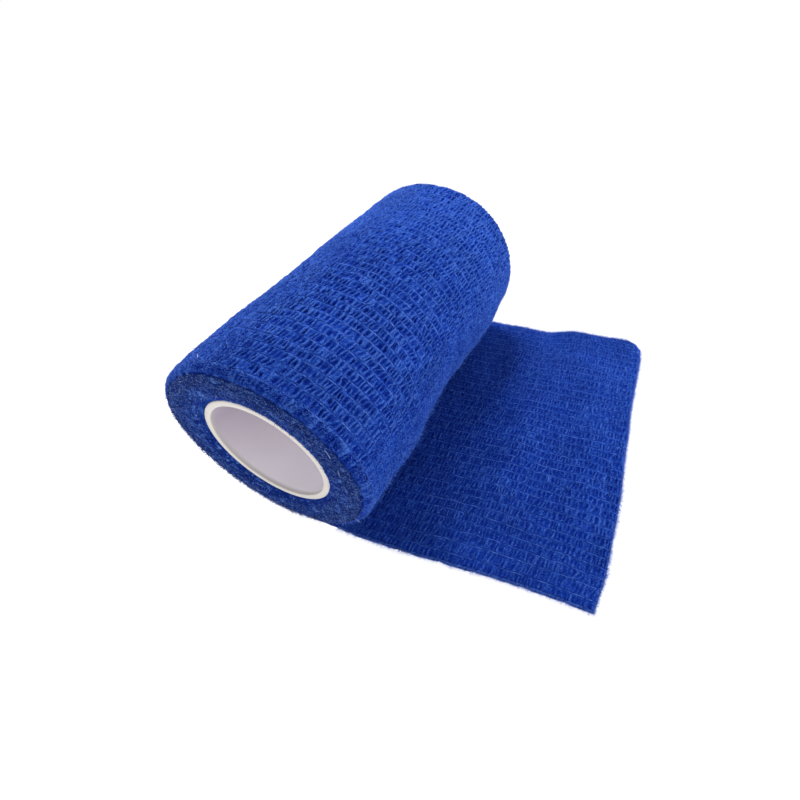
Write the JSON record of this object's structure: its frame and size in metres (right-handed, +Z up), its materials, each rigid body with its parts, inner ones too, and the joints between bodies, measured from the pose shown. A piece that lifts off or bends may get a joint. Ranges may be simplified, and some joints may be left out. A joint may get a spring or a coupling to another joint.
{
  "type": "cohesive bandage roll",
  "caption": "Roll of crinkled elastic cohesive bandage wound on a plastic core, lying on its side with its loose end laid out flat.",
  "frame": {"origin": "on the surface the roll rests on, straight below the roll's axis, at the middle of its width", "axes": "+Z up, +Y along the roll's axis towards its far end, +X towards the cut edge of the loose end"},
  "size_m": [0.1094, 0.101, 0.0581],
  "materials": {
    "bandage_cloth": "crinkled non-woven, matt and slightly fuzzy",
    "core_plastic": "smooth extruded white tube, satin"
  },
  "bodies": {
    "root": {"bandage": "bandage_cloth", "core": "core_plastic"}
  },
  "joints": []
}
